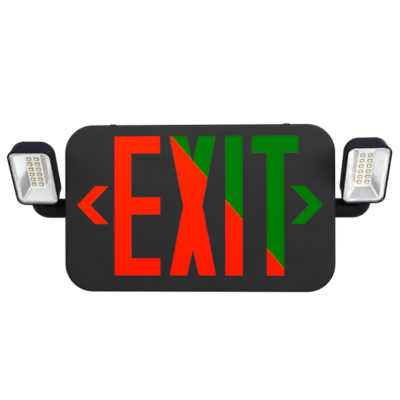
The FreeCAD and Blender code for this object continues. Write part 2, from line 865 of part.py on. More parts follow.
def head_housing():
    grow = 2 * lens_clearance
    ledge_y = lens_y + lens_thickness + reflector_flange
    seat = rounded_slab(lens_width + grow, lens_height + grow, lens_radius + lens_clearance,
                        lens_y - overcut, ledge_y, lens_mid)
    inside_back = lens_y + head_depth - head_back_wall
    cavity = rounded_slab(lens_width - 2 * head_ledge, lens_height - 2 * head_ledge,
                          head_cavity_corner, ledge_y, inside_back, lens_mid)
    cavity = cavity.makeFillet(head_cavity_round, edges_at(cavity, inside_back))
    shell = head_outer().cut([seat, cavity])
    board_back_y = board_y + led_board_thickness
    parts = [shell, rod(swivel_boss_radius, V(0, 0, head_foot + rim / 2), V(0, 0, swivel_top))]
    cuts = [rod(post_radius + journal_clearance, V(0, 0, head_foot - overcut),
                V(0, 0, swivel_top + overcut))]
    for x, z in head_screw_places():
        parts.append(rod(head_post_radius, V(x, board_back_y, z), V(x, inside_back + overcut, z)))
        cuts.append(rod(head_screw_radius + pilot_clearance, V(x, board_back_y - overcut, z),
                        V(x, board_back_y + head_screw_length, z)))
    return joined(parts).cut(cuts)


def head_lens():
    lens = rounded_slab(lens_width, lens_height, lens_radius, lens_y, lens_y + lens_thickness, lens_mid)
    return lens.makeFillet(lens_bevel, edges_at(lens, lens_y))


def funnel(grow, front):
    """Tapered tub from the lens to the lamp board's window, grown sideways."""
    height = lens_height - mouth_foot - mouth_head
    mid = lens_foot + mouth_foot + height / 2
    mouth = rounded_outline(mouth_width + 2 * grow, height + 2 * grow, mouth_corner + grow, front, mid)
    window = rounded_outline(window_width + 2 * grow, window_height + 2 * grow,
                             window_corner + grow, board_y, window_mid)
    return Part.makeLoft([mouth, window], True, True)


def head_reflector():
    front = lens_y + lens_thickness
    flange = rounded_slab(lens_width, lens_height, lens_radius, front, front + reflector_flange, lens_mid)
    return joined([flange, funnel(reflector_skin, front)]).cut(funnel(0, front))


def head_led_board():
    half_height = window_height / 2 + led_board_margin
    half_width = led_board_width / 2
    back = board_y + led_board_thickness
    board = block(V(-half_width, board_y, window_mid - half_height),
                  V(half_width, back, window_mid + half_height))
    return board.cut(clearance_holes(head_screw_radius, head_screw_places(), board_y, back))


def head_leds():
    width, height, length = led_size
    leds = []
    for column in (-0.5, 0.5):
        for row in range(led_rows):
            x = column * led_column_pitch
            z = window_mid + (row - (led_rows - 1) / 2) * led_row_pitch
            leds.append(block(V(x - width / 2, board_y - height, z - length / 2),
                              V(x + width / 2, board_y, z + length / 2)))
    return Part.makeCompound(leds)


def head_board_screws():
    size = (head_screw_radius, head_screw_head, head_screw_height, head_screw_length)
    return Part.makeCompound([screw(x, z, board_y, *size) for x, z in head_screw_places()])


def placed(shape, side, on_head):
    """Move a lamp piece from the elbow's frame to its side of the box, as it is set."""
    at_left = side == "left"
    turned = shape.copy()
    if at_left and not on_head:
        turned = turned.mirror(V(0, 0, 0), V(1, 0, 0))
    if on_head:
        turn = left_turn_degrees if at_left else right_turn_degrees
        turned.rotate(V(0, 0, 0), V(0, 0, 1), turn)
    turned.rotate(V(0, 0, 0), V(1, 0, 0), left_tilt_degrees if at_left else right_tilt_degrees)
    turned.translate(V(-leg_x if at_left else leg_x, -arm_depth, 0))
    return turned


def screws_at(places, seat, length=screw_length):
    return Part.makeCompound([screw(x, z, seat, length=length) for x, z in places])


def main():
    os.makedirs("parts", exist_ok=True)
    sheet = panel_sheet(face_back, diffuser_front)
    left = left_of_split()
    nodes = {
        "back_housing": back_housing(),
        "front_cover": front_cover(),
        "red_panel": sheet.common(left),
        "green_panel": sheet.cut(left),
        "diffuser_panel": panel_sheet(diffuser_front, diffuser_back),
        "panel_push_nuts": push_nuts(),
        "reflector_tray": reflector_tray(),
        "tray_screws": screws_at(four(tray_post_x, tray_post_z), tray_front),
        "upper_led_strip": led_strip(1),
        "lower_led_strip": led_strip(-1),
        "upper_strip_leds": strip_leds(1),
        "lower_strip_leds": strip_leds(-1),
        "main_board": main_board(),
        "board_screws": screws_at(board_holes(), board_front, board_thickness + board_screw_bite),
        "transformer": transformer(),
        "capacitors": capacitors(),
        "relay": relay(),
        "terminal_block": terminal_block(),
        "test_switch": test_switch(),
        "battery_pack": battery_pack(),
        "battery_clip": battery_clip(),
        "battery_clip_screws": screws_at(strap_holes(), strap_seat - strap_thickness, strap_boss_height),
        "charge_lamp": charge_lamp(),
        "test_button": test_button(),
        "test_button_spring": test_button_spring(),
    }
    arm_pieces = {
        "arm": arm(),
        "arm_washer": arm_washer(),
        "arm_nut": arm_nut(),
        "swivel_clip": swivel_clip(),
    }
    head_pieces = {
        "head_housing": head_housing(),
        "head_lens": head_lens(),
        "head_reflector": head_reflector(),
        "head_led_board": head_led_board(),
        "head_leds": head_leds(),
        "head_board_screws": head_board_screws(),
    }
    for side in ("left", "right"):
        for name, shape in arm_pieces.items():
            nodes[f"{side}_{name}"] = placed(shape, side, False)
        for name, shape in head_pieces.items():
            nodes[f"{side}_{name}"] = placed(shape, side, True)
    for name, shape in nodes.items():
        shape.exportStep(f"parts/{name}.step")
        volume = shape.Volume / 1000
        print(f"{name:24s} solids {len(shape.Solids):2d}  volume {volume:8.2f} cm3  valid {shape.isValid()}")


main()
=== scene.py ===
# %% [markdown]
# # Emergency exit light
# A wall sign with a black moulded box, a stencil legend lit red and green from behind, and
# a lamp head on an elbow arm at each end. The construction model is loaded first. It
# already holds every part at its true size, so this script gives each part its finish and
# models only what a construction model leaves plain.

# %% Load the construction model
import json
import math
import bpy
from mathutils import Matrix, Vector


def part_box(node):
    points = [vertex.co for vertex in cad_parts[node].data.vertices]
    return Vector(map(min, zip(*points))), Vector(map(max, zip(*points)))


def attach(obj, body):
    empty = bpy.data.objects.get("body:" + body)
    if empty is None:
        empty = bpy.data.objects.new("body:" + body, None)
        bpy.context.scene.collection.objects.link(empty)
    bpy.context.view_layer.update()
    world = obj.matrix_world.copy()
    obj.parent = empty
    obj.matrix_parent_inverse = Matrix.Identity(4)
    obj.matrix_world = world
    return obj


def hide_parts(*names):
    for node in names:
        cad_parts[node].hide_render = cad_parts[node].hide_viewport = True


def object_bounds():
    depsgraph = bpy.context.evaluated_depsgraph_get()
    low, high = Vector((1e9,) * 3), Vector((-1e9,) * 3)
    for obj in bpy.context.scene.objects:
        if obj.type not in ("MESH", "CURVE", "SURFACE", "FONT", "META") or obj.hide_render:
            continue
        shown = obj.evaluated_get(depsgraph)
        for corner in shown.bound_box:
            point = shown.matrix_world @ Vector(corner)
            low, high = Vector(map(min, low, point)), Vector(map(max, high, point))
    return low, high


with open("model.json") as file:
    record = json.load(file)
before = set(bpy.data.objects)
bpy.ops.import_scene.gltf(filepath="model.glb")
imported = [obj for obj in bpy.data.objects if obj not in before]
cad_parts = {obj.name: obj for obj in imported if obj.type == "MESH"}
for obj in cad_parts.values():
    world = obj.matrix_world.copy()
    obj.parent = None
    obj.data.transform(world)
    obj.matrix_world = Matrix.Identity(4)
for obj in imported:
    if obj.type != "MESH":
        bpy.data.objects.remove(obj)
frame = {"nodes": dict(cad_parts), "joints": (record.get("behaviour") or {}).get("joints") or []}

nodes = frame["nodes"]
cad_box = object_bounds()
cad_low, cad_high = (Vector(corner) for corner in cad_box)
MM = 0.001
print("parts:", len(nodes))
print("overall size in mm:", [round(1000 * d, 1) for d in cad_high - cad_low])

# %% [markdown]
# ## Helpers for materials
# Colours are written as sRGB hex codes, the way a paint chart gives them, but shaders
# calculate with linear light, so one function converts them. A material is a small network
# of nodes, and one function adds a node together with its settings and its links.

# %% Colour conversion and node building
def linear(code):
    """Linear RGBA of an sRGB hex colour."""
    values = [int(code[i:i + 2], 16) / 255 for i in (1, 3, 5)]
    return [v / 12.92 if v <= 0.04045 else ((v + 0.055) / 1.055) ** 2.4 for v in values] + [1.0]


def add(tree, kind, values=None, links=None, **settings):
    """Add a node with its settings, its input values and the links into it."""
    node = tree.nodes.new(kind)
    for name, value in settings.items():
        setattr(node, name, value)
    for name, value in (values or {}).items():
        node.inputs[name].default_value = value
    for name, socket in (links or {}).items():
        tree.links.new(socket, node.inputs[name])
    return node


def new_material(name, **values):
    """A material with one Principled shader, and Object coordinates for its patterns."""
    material = bpy.data.materials.new(name)
    material.use_nodes = True
    tree = material.node_tree
    shader = tree.nodes["Principled BSDF"]
    for key, value in values.items():
        shader.inputs[key.replace("_", " ")].default_value = value
    place = add(tree, "ShaderNodeTexCoord").outputs["Object"]
    return material, tree, shader, place


def per_size(millimetres):
    """Noise scale at which one blotch is about this wide."""
    return 1 / (millimetres * MM)


def paint(material, *names):
    """Give parts this material in place of their plain one."""
    for name in names:
        for slot in nodes[name].material_slots:
            slot.material = material
    print(material.name, "on", len(names), "parts")


print("black of the box in linear light:", [round(v, 4) for v in linear("#252526")[:3]])

# %% [markdown]
# ## Patterns that several finishes share
# Hardly any real surface has one flat colour. Moulded plastic has cloudy patches where it
# cooled, and a fine grain from the mould. A soft noise drives the colour between two close
# shades, the same noise moves the roughness a little, and a finer noise feeds a Bump node.

# %% Cloudy colour, uneven gloss and grain
soft_low, soft_high = 0.3, 0.7      # a soft noise keeps mostly between these


def cloud(tree, place, millimetres, detail=3.0):
    """Soft noise from 0 to 1, with patches of this size."""
    noise = add(tree, "ShaderNodeTexNoise", {"Scale": per_size(millimetres), "Detail": detail},
                {"Vector": place})
    return noise.outputs["Fac"]


def between(tree, factor, first, second):
    """Colour that runs from one shade to another as the factor does."""
    ramp = add(tree, "ShaderNodeValToRGB", links={"Fac": factor})
    ramp.color_ramp.elements[0].position = soft_low
    ramp.color_ramp.elements[1].position = soft_high
    ramp.color_ramp.elements[0].color = linear(first)
    ramp.color_ramp.elements[1].color = linear(second)
    return ramp.outputs["Color"]


def spread(tree, factor, low, high):
    """Number that runs from low to high as the factor does."""
    values = {"From Min": soft_low, "From Max": soft_high, "To Min": low, "To Max": high}
    return add(tree, "ShaderNodeMapRange", values, {"Value": factor}).outputs["Result"]


def grain(tree, shader, height, depth, normal=None):
    """Relief of this depth in millimetres on a shader."""
    links = {"Height": height}
    if normal:
        links["Normal"] = normal
    bump = add(tree, "ShaderNodeBump", {"Strength": 1.0, "Distance": depth * MM}, links)
    tree.links.new(bump.outputs["Normal"], shader.inputs["Normal"])
    return bump.outputs["Normal"]


def moulded(name, dark, light, gloss, grain_size, grain_depth, **values):
    """Moulded plastic: cloudy colour, slightly uneven gloss, fine grain."""
    material, tree, shader, place = new_material(name, **values)
    patches = cloud(tree, place, 22)
    tree.links.new(between(tree, patches, dark, light), shader.inputs["Base Color"])
    tree.links.new(spread(tree, patches, *gloss), shader.inputs["Roughness"])
    grain(tree, shader, cloud(tree, place, grain_size, 2.0), grain_depth)
    return material


print("a 0.9 mm grain has a noise scale of", round(per_size(0.9)))

# %% [markdown]
# ## Black ABS of the box
# The housing and the cover are injection-moulded ABS. The face of the mould is spark-eroded,
# which gives a satin black that reads as dark grey, because its fine texture spreads the
# light. Its rounded rim, its sides and the walls of the cut-outs get painted shade: their colour
# is darkened to stand in for the shade on them. The colour therefore falls off just behind the
# plane of the face, read from the Y of the Object coordinates. The real grain is about 0.1 mm,
# too fine to see from three quarters of a metre, so it is drawn at 0.9 mm.

# %% Spark-eroded black ABS, with painted shade on its edges
cover_low, cover_high = (Vector(corner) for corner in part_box("front_cover"))
shade_start = 0.15 * MM     # behind the face, where the painted edge shade starts
shade_full = 0.8 * MM     # behind the face, where the painted edge shade is full


def paint_edge_shade(material, edge):
    """Paint shade into a material's colour behind the plane of the face."""
    tree = material.node_tree
    shader = tree.nodes["Principled BSDF"]
    place = add(tree, "ShaderNodeTexCoord").outputs["Object"]
    inwards = add(tree, "ShaderNodeSeparateXYZ", links={"Vector": place}).outputs["Y"]
    limits = {"From Min": cover_low.y + shade_start, "From Max": cover_low.y + shade_full}
    behind = add(tree, "ShaderNodeMapRange", limits, {"Value": inwards}).outputs["Result"]
    plain = shader.inputs["Base Color"].links[0].from_socket
    mix = add(tree, "ShaderNodeMix", links={"Factor": behind}, data_type="RGBA")
    colours = [socket for socket in mix.inputs if socket.type == "RGBA"]
    tree.links.new(plain, colours[0])
    colours[1].default_value = linear(edge)
    blended = next(socket for socket in mix.outputs if socket.type == "RGBA")
    tree.links.new(blended, shader.inputs["Base Color"])
    return material


spark_eroded_abs = moulded("spark_eroded_abs", "#252526", "#282829", (0.5, 0.58), 0.9, 0.012,
                           Specular_IOR_Level=0.05)
# The edge colour #131314 is painted shade on the rim, the sides and the cut-out walls of the box.
paint(paint_edge_shade(spark_eroded_abs, "#131314"), "back_housing", "front_cover")

# %% [markdown]
# ## Black ABS of the lamps
# The lamp heads come from a smoother mould and a slightly bluish batch of ABS. The arms are
# the same plastic from another batch, less blue. The grain is again drawn coarser than it is.

# %% Smooth black ABS
lamp_abs = moulded("smooth_blue_black_abs", "#15151d", "#18181f", (0.45, 0.52), 0.7, 0.006,
                   Specular_IOR_Level=0.025)
arm_abs = moulded("smooth_black_abs", "#1d1d21", "#212126", (0.42, 0.5), 0.7, 0.006,
                  Specular_IOR_Level=0.02)
paint(lamp_abs, "left_head_housing", "right_head_housing")
paint(arm_abs, "left_arm", "right_arm")

# %% [markdown]
# ## Lit acrylic of the legend
# Behind the stencil lie two sheets of coloured cast acrylic, butted along a slanting line,
# with a strip of lamps above and one below them in a white chamber. The sheets glow almost
# evenly, a touch lighter towards the top. Emission carries the glow. The sheet itself stays
# dark, as coloured acrylic does when its lamps are out, with a smooth skin.

# %% Red and green acrylic
def lit_acrylic(name, body, foot, top):
    """Coloured sheet that glows from one shade at its foot to another at its top."""
    material, tree, shader, place = new_material(name, Roughness=0.3, Specular_IOR_Level=0.02)
    shader.inputs["Base Color"].default_value = linear(body)
    height = add(tree, "ShaderNodeSeparateXYZ", links={"Vector": place}).outputs["Z"]
    rise = add(tree, "ShaderNodeMapRange", {"From Min": cover_low.z, "From Max": cover_high.z},
               {"Value": height}).outputs["Result"]
    glow = add(tree, "ShaderNodeValToRGB", links={"Fac": rise})
    glow.color_ramp.elements[0].color = linear(foot)
    glow.color_ramp.elements[1].color = linear(top)
    tree.links.new(glow.outputs["Color"], shader.inputs["Emission Color"])
    shader.inputs["Emission Strength"].default_value = 1.0
    grain(tree, shader, cloud(tree, place, 30, 1.0), 0.02)
    return material


paint(lit_acrylic("red_cast_acrylic", "#2a0400", "#fb1400", "#fe2a01"), "red_panel")
paint(lit_acrylic("green_cast_acrylic", "#001c02", "#007500", "#007a01"), "green_panel")

# %% [markdown]
# ## Opal sheet and white tray
# A thin opal acrylic sheet spreads the light of the strips. The tray that carries them is
# folded sheet steel in white baked enamel, which has a faint orange-peel skin.

# %% Opal acrylic and white enamel
opal_acrylic = moulded("opal_acrylic", "#e9e8e4", "#f1f0ec", (0.42, 0.5), 3.0, 0.004,
                       Subsurface_Weight=0.3, Subsurface_Scale=0.002)
white_enamel = moulded("white_baked_enamel", "#e4e4e0", "#ecece8", (0.26, 0.34), 2.0, 0.01,
                       Coat_Weight=0.3, Coat_Roughness=0.15)
paint(opal_acrylic, "diffuser_panel")
paint(white_enamel, "reflector_tray")

# %% [markdown]
# ## Zinc-plated steel
# Screws, nuts, clips and springs are steel with a bright zinc plating. It is metallic, pale
# and slightly blue in places, and its crystals make the gloss patchy.

# %% Zinc-plated steel
def zinc_plated_steel():
    """Pale metal with patchy gloss and a fine crystal grain."""
    material, tree, shader, place = new_material("zinc_plated_steel", Metallic=1.0)
    patches = cloud(tree, place, 1.5)
    tree.links.new(between(tree, patches, "#b9bcc2", "#d6d6cf"), shader.inputs["Base Color"])
    tree.links.new(spread(tree, patches, 0.25, 0.4), shader.inputs["Roughness"])
    grain(tree, shader, cloud(tree, place, 0.4, 2.0), 0.004)
    return material


steel_parts = ["panel_push_nuts", "tray_screws", "board_screws", "battery_clip",
               "battery_clip_screws", "test_button_spring"]
for side in ("left", "right"):
    steel_parts += [side + "_arm_washer", side + "_swivel_clip", side + "_head_board_screws"]
paint(zinc_plated_steel(), *steel_parts)

# %% [markdown]
# ## Circuit boards
# A board is glass-fibre epoxy with copper tracks, under a lacquer called solder mask. The
# lacquer gathers in the gaps between the tracks, where it looks darker and stands a little
# higher. A square Voronoi pattern stands for the tracks. Its cells are 5 mm wide, coarser than
# most tracks, so that they show.

# %% Green and white solder mask
gap_start, gap_end = 0.42, 0.46     # distance from a cell's middle, in cells


def solder_mask(name, in_gaps, on_tracks, **values):
    """Lacquered board, darker and higher in the gaps between its tracks."""
    material, tree, shader, place = new_material(name, Roughness=0.32, Coat_Weight=0.4,
                                                 Coat_Roughness=0.12, **values)
    cells = add(tree, "ShaderNodeTexVoronoi", {"Scale": per_size(5), "Randomness": 0.6},
                {"Vector": place}, distance="CHEBYCHEV", feature="F1")
    gaps = add(tree, "ShaderNodeMapRange", {"From Min": gap_start, "From Max": gap_end},
               {"Value": cells.outputs["Distance"]}).outputs["Result"]
    tree.links.new(between(tree, gaps, on_tracks, in_gaps), shader.inputs["Base Color"])
    grain(tree, shader, gaps, 0.03)
    return material


paint(solder_mask("green_solder_mask", "#15502c", "#1f6a3a"), "main_board")
white_mask = solder_mask("white_solder_mask", "#e6e6e3", "#f0f0ed")
# The white mask on the head boards glows a little, though a board is no lamp: painted light that
# brightens them inside the heads.
painted_glow_mask = solder_mask("white_solder_mask_painted_glow", "#eeeeec", "#f6f6f4", Emission_Strength=0.4)
painted_glow_mask.node_tree.nodes["Principled BSDF"].inputs["Emission Color"].default_value = linear("#fffdf6")
paint(white_mask, "upper_led_strip", "lower_led_strip")
paint(painted_glow_mask, "left_head_led_board", "right_head_led_board")

# %% [markdown]
# ## Parts on the main board
# Nothing shows them unless the cover is off, but each has its own finish: varnished iron
# laminations, shrink sleeves, and mouldings in the colours that such parts usually have. The
# sheets of the iron are about 0.5 mm thick and are drawn 3 mm apart, so that they show.

# %% Laminated iron, sleeves and mouldings
wave_size = 10      # mm; a Wave node draws about three bands in this


def varnished_laminations():
    """Transformer iron: sheets on edge, under dark varnish."""
    material, tree, shader, place = new_material("varnished_laminations", Roughness=0.4,
                                                 Metallic=0.6)
    sheets = add(tree, "ShaderNodeTexWave", {"Scale": per_size(wave_size)}, {"Vector": place},
                 wave_type="BANDS", bands_direction="Z").outputs["Fac"]
    tree.links.new(between(tree, sheets, "#3a3a3c", "#5c5a55"), shader.inputs["Base Color"])
    grain(tree, shader, sheets, 0.05)
    return material


def shrink_sleeve(name, dark, light):
    """Thin PVC shrunk tight: glossy, with faint wrinkles."""
    material, tree, shader, place = new_material(name, Roughness=0.22, Coat_Weight=0.3)
    wrinkles = cloud(tree, place, 4)
    tree.links.new(between(tree, wrinkles, dark, light), shader.inputs["Base Color"])
    grain(tree, shader, wrinkles, 0.06)
    return material


paint(varnished_laminations(), "transformer")
paint(shrink_sleeve("black_shrink_sleeve", "#141418", "#1e1e24"), "capacitors")
paint(shrink_sleeve("blue_shrink_sleeve", "#14406f", "#1b5088"), "battery_pack")
paint(moulded("blue_pbt", "#152a5c", "#1a3168", (0.35, 0.45), 0.8, 0.01), "relay")
paint(moulded("green_polyamide", "#1f7a3c", "#258646", (0.38, 0.48), 0.8, 0.01), "terminal_block")
paint(moulded("black_polyamide", "#161616", "#1d1d1d", (0.4, 0.5), 0.8, 0.01),
      "test_switch", "left_arm_nut", "right_arm_nut")
paint(moulded("grey_abs", "#858588", "#909093", (0.38, 0.46), 0.5, 0.008), "test_button")

# %% [markdown]
# ## Pilot lamp
# The lamp in the underside is clear red epoxy, domed like a lens. It transmits light, so it
# gets a Transmission value and the IOR of epoxy, with a faint glow because it is lit.

# %% Red clear epoxy
def red_epoxy():
    """Clear red resin with faint flow marks, glowing a little."""
    material, tree, shader, place = new_material("red_clear_epoxy", Transmission_Weight=0.6, IOR=1.54,
                                                 Roughness=0.08, Emission_Strength=0.4)
    shader.inputs["Emission Color"].default_value = linear("#ff2010")
    flow = cloud(tree, place, 1.2)
    tree.links.new(between(tree, flow, "#c01208", "#d81a0e"), shader.inputs["Base Color"])
    return material


paint(red_epoxy(), "charge_lamp")

# %% [markdown]
# ## Clear lens
# Each head is closed by a clear polycarbonate lens, a flat pane 2 mm thick. Transmission
# would bend the light at both of its faces, and again on the way out, which uses up the
# bounces and leaves the tub behind it grey. A flat pane hardly shifts what is behind it, so
# Alpha does the work: light goes straight through, and a thin share of gloss stays.

# %% Clear polycarbonate
def clear_polycarbonate():
    """Pane that lets nearly all light straight through."""
    material, tree, shader, place = new_material("clear_polycarbonate", IOR=1.585, Roughness=0.03,
                                                 Alpha=0.09)
    haze = cloud(tree, place, 9, 1.0)
    tree.links.new(between(tree, haze, "#eef1f3", "#fbfcfc"), shader.inputs["Base Color"])
    grain(tree, shader, haze, 0.01)
    return material


paint(clear_polycarbonate(), "left_head_lens", "right_head_lens")

# %% [markdown]
# ## Metallised reflector
# The tub behind the lens is white plastic with a thin vacuum-deposited film of aluminium. The
# film is a soft mirror, slightly wavy because the plastic under it is, and uneven and thin
# enough to let some of the white through. The same noise could drive all of it, but the film
# and the haze on it vary apart, so each has a noise of its own.

# %% Vacuum-metallised tub
def metallised_tub():
    """White plastic under an uneven film of aluminium."""
    material, tree, shader, place = new_material("vacuum_metallised_abs")
    haze = cloud(tree, place, 6)
    film = cloud(tree, place, 9, 1.0)
    tree.links.new(spread(tree, film, 0.64, 0.74), shader.inputs["Metallic"])
    tree.links.new(between(tree, haze, "#f6f7f9", "#fcfcfc"), shader.inputs["Base Color"])
    tree.links.new(spread(tree, haze, 0.07, 0.11), shader.inputs["Roughness"])
    grain(tree, shader, cloud(tree, place, 7, 1.0), 0.03)
    return material


paint(metallised_tub(), "left_head_reflector", "right_head_reflector")

# %% [markdown]
# ## Surface-mounted lamps
# The strips in the sign carry plain small LEDs, which no one sees. Those in the heads show
# through the lens, so they are modelled: a grey moulded frame with a sloping well, a pad of
# yellow phosphor in it, and a tin-plated foot at each end. The grey of the frame is partly
# painted shade, for the shadows round each LED.

# %% Finishes of an LED
def yellow_phosphor():
    """Silicone full of phosphor grains, glowing: real light in the lit strips of the sign, painted
    light in the heads, whose LEDs are off.
    """
    # The glow is the light of the strip LEDs in the sign; in the heads, whose LEDs are off, it is
    # painted light that brightens the phosphor in its well.
    material, tree, shader, place = new_material(
        "yellow_phosphor_silicone", Roughness=0.25, Coat_Weight=0.5, Coat_Roughness=0.05,
        Emission_Strength=0.75)
    colour = between(tree, cloud(tree, place, 0.4), "#f4d048", "#fff0a0")
    tree.links.new(colour, shader.inputs["Base Color"])
    tree.links.new(colour, shader.inputs["Emission Color"])
    return material


def tin_plating():
    """Matt tin with uneven gloss."""
    material, tree, shader, place = new_material("tin_plate", Metallic=1.0)
    patches = cloud(tree, place, 0.5)
    tree.links.new(between(tree, patches, "#a9aaac", "#c4c5c6"), shader.inputs["Base Color"])
    tree.links.new(spread(tree, patches, 0.3, 0.5), shader.inputs["Roughness"])
    return material


# Mid grey resin: its colour is partly painted shade round each LED.
package_resin_and_shade = moulded("grey_package_resin_painted_shade", "#858583", "#939391", (0.35, 0.45), 0.5, 0.004)
phosphor = yellow_phosphor()
tin_plate = tin_plating()
paint(phosphor, "upper_strip_leds", "lower_strip_leds")

# %% [markdown]
# ## Finding where the LEDs sit
# The construction model holds each LED as a plain block. A copy of those blocks is merged
# and split into its loose pieces, and the middle of each piece is a place for an LED. The
# head leans forward and turns, so the LEDs need its directions too: up is the axis that the
# head swivels on, and across runs from one column of blocks to the other.

# %% Places and directions
def only(*objects):
    """Leave just these objects selected, with the first one active."""
    bpy.ops.object.select_all(action="DESELECT")
    for obj in objects:
        obj.select_set(True)
    bpy.context.view_layer.objects.active = objects[0]


def loose_pieces(name):
    """The vertices of each loose piece of a part, from a merged copy of it."""
    copy = nodes[name].copy()
    copy.data = nodes[name].data.copy()
    copy.parent = None
    bpy.context.scene.collection.objects.link(copy)
    only(copy)
    bpy.ops.object.mode_set(mode="EDIT")
    bpy.ops.mesh.select_all(action="SELECT")
    bpy.ops.mesh.remove_doubles(threshold=0.01 * MM)
    bpy.ops.mesh.separate(type="LOOSE")
    bpy.ops.object.mode_set(mode="OBJECT")
    pieces = list(bpy.context.selected_objects)
    points = [[v.co.copy() for v in piece.data.vertices] for piece in pieces]
    bpy.ops.object.delete()
    return points


def middle(points):
    """Mean of some points."""
    return sum(points, Vector()) / len(points)


def head_directions(side, places):
    """Unit vectors across, inwards and up, seen from in front of a head."""
    axis = next(j["axis"] for j in frame["joints"] if j["name"] == side + "_head_swivel")
    up = Vector(axis).normalized()
    low_row = sorted(places, key=lambda p: p.dot(up))[:2]
    across = low_row[1] - low_row[0]
    across -= across.dot(up) * up
    across.normalize()
    if across.x < 0:
        across = -across
    return across, up.cross(across), up


led_blocks = {side: loose_pieces(side + "_head_leds") for side in ("left", "right")}
led_places = {side: [middle(block) for block in blocks] for side, blocks in led_blocks.items()}
directions = {side: head_directions(side, places) for side, places in led_places.items()}
reach = [[point.dot(way) for point in led_blocks["left"][0]] for way in directions["left"]]
led_size = Vector([max(values) - min(values) for values in reach])
print("LEDs in each head:", [len(places) for places in led_places.values()])
print("size of an LED in mm:", [round(1000 * d, 2) for d in led_size])
for side, (across, inwards, up) in directions.items():
    print(side, "head looks along", [round(-d, 3) for d in inwards])

# %% [markdown]
# ## Modelling one LED
# One LED is modelled at the origin, looking along -Y, and copied to its places. The frame is
# a cube at the right size: its front face is inset to leave a rim, inset again and pushed in
# to make the sloping well. The feet and the phosphor pad are thin blocks with eased edges.

# %% One LED
rim_width = 0.72 * MM
well_slope = 0.12 * MM
well_depth = 0.35 * MM
pad_fill = 0.6              # share of the well's depth that the phosphor fills
frame_ease = 0.08 * MM
foot_length = 0.3 * MM      # how far a foot shows past the frame
foot_height = 0.18 * MM
foot_share = 0.7            # of the frame's height
foot_ease = 0.04 * MM
faces_front = -0.9          # Y of a normal that looks along -Y, or nearly


def slab(name, size, middle_at, material, ease):
    """Block with eased edges, with its place in its mesh."""
    bpy.ops.object.select_all(action="DESELECT")
    bpy.ops.mesh.primitive_cube_add(size=1, location=middle_at)
    obj = bpy.context.object
    obj.name = name
    obj.scale = size
    bpy.ops.object.transform_apply(location=True, rotation=True, scale=True)
    bevel = obj.modifiers.new("ease", "BEVEL")
    bevel.width = ease
    bevel.segments = 2
    bpy.ops.object.modifier_apply(modifier=bevel.name)
    obj.data.materials.append(material)
    return obj


def select_front(obj):
    """In edit mode, select only the face that looks along -Y and lies furthest out."""
    bpy.ops.object.mode_set(mode="OBJECT")
    faces = [f for f in obj.data.polygons if f.normal.y < faces_front]
    front = min(faces, key=lambda f: (round(f.center.y, 6), -f.area))
    for polygon in obj.data.polygons:
        polygon.select = polygon.index == front.index
    for edge in obj.data.edges:
        edge.select = False
    for vertex in obj.data.vertices:
        vertex.select = vertex.index in set(front.vertices)
    bpy.ops.object.mode_set(mode="EDIT")
    bpy.ops.mesh.select_mode(type="FACE")


def led_frame():
    """Moulded frame with its well."""
    obj = slab("led_frame", led_size, (0, 0, 0), package_resin_and_shade, frame_ease)
    select_front(obj)
    bpy.ops.mesh.inset(thickness=rim_width)
    bpy.ops.mesh.inset(thickness=well_slope, depth=-well_depth)
    bpy.ops.object.mode_set(mode="OBJECT")
    return obj


def led_pad():
    """Phosphor on the floor of the well."""
    floor_width = led_size.x - 2 * (rim_width + well_slope)
    floor_height = led_size.z - 2 * (rim_width + well_slope)
    thickness = pad_fill * well_depth
    place = (0, -led_size.y / 2 + well_depth - thickness / 2, 0)
    return slab("led_pad", (floor_width, thickness, floor_height), place, phosphor, frame_ease)


def led_feet():
    """Tin-plated feet at both ends, on the board."""
    size = (2 * foot_length, foot_height, foot_share * led_size.z)
    feet = []
    for end in (-1, 1):
        place = (end * led_size.x / 2, led_size.y / 2 - foot_height / 2, 0)
        feet.append(slab("led_foot", size, place, tin_plate, foot_ease))
    return feet


frame_model = led_frame()
pad_model = led_pad()
only(*led_feet())
bpy.ops.object.join()
feet_model = bpy.context.object
print("faces in one frame:", len(frame_model.data.polygons))

# %% [markdown]
# ## Copying the LEDs
# Each model is copied to its twelve places with a mesh of its own, and the copies are joined
# into one piece for each head, which then moves with that head.

# %% Twelve LEDs in each head
def array_of(model, name, side):
    """Copies of a model at every LED place of one head, as one piece."""
    across, inwards, up = directions[side]
    turn = Matrix((across, inwards, up)).transposed().to_4x4()
    copies = []
    for place in led_places[side]:
        copy = model.copy()
        copy.data = model.data.copy()
        bpy.context.scene.collection.objects.link(copy)
        copy.data.transform(Matrix.Translation(place) @ turn)
        copies.append(copy)
    only(*copies)
    bpy.ops.object.join()
    piece = bpy.context.object
    piece.name = f"{side}_{name}"
    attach(piece, side + "_head")
    return piece


for side in ("left", "right"):
    frames = array_of(frame_model, "led_frames", side)
    array_of(pad_model, "led_phosphor", side)
    array_of(feet_model, "led_feet", side)
    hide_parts(side + "_head_leds")
    print(side, "head:", len(led_places[side]), "LEDs,", len(frames.data.polygons), "faces in frames")
for model in (frame_model, pad_model, feet_model):
    bpy.data.objects.remove(model)

# %% [markdown]
# ## Floor
# The sign hangs on a wall, so the floor lies well below it. It is matt white board. It glows a
# little for the camera and in gloss, so that it stays pale round the shadow, and it is clear
# from underneath, so that it never hides the sign.

# %% White board
floor_drop = 0.26
floor_radius = 0.42
floor_glow = 0.35
centre = (cad_low + cad_high) / 2


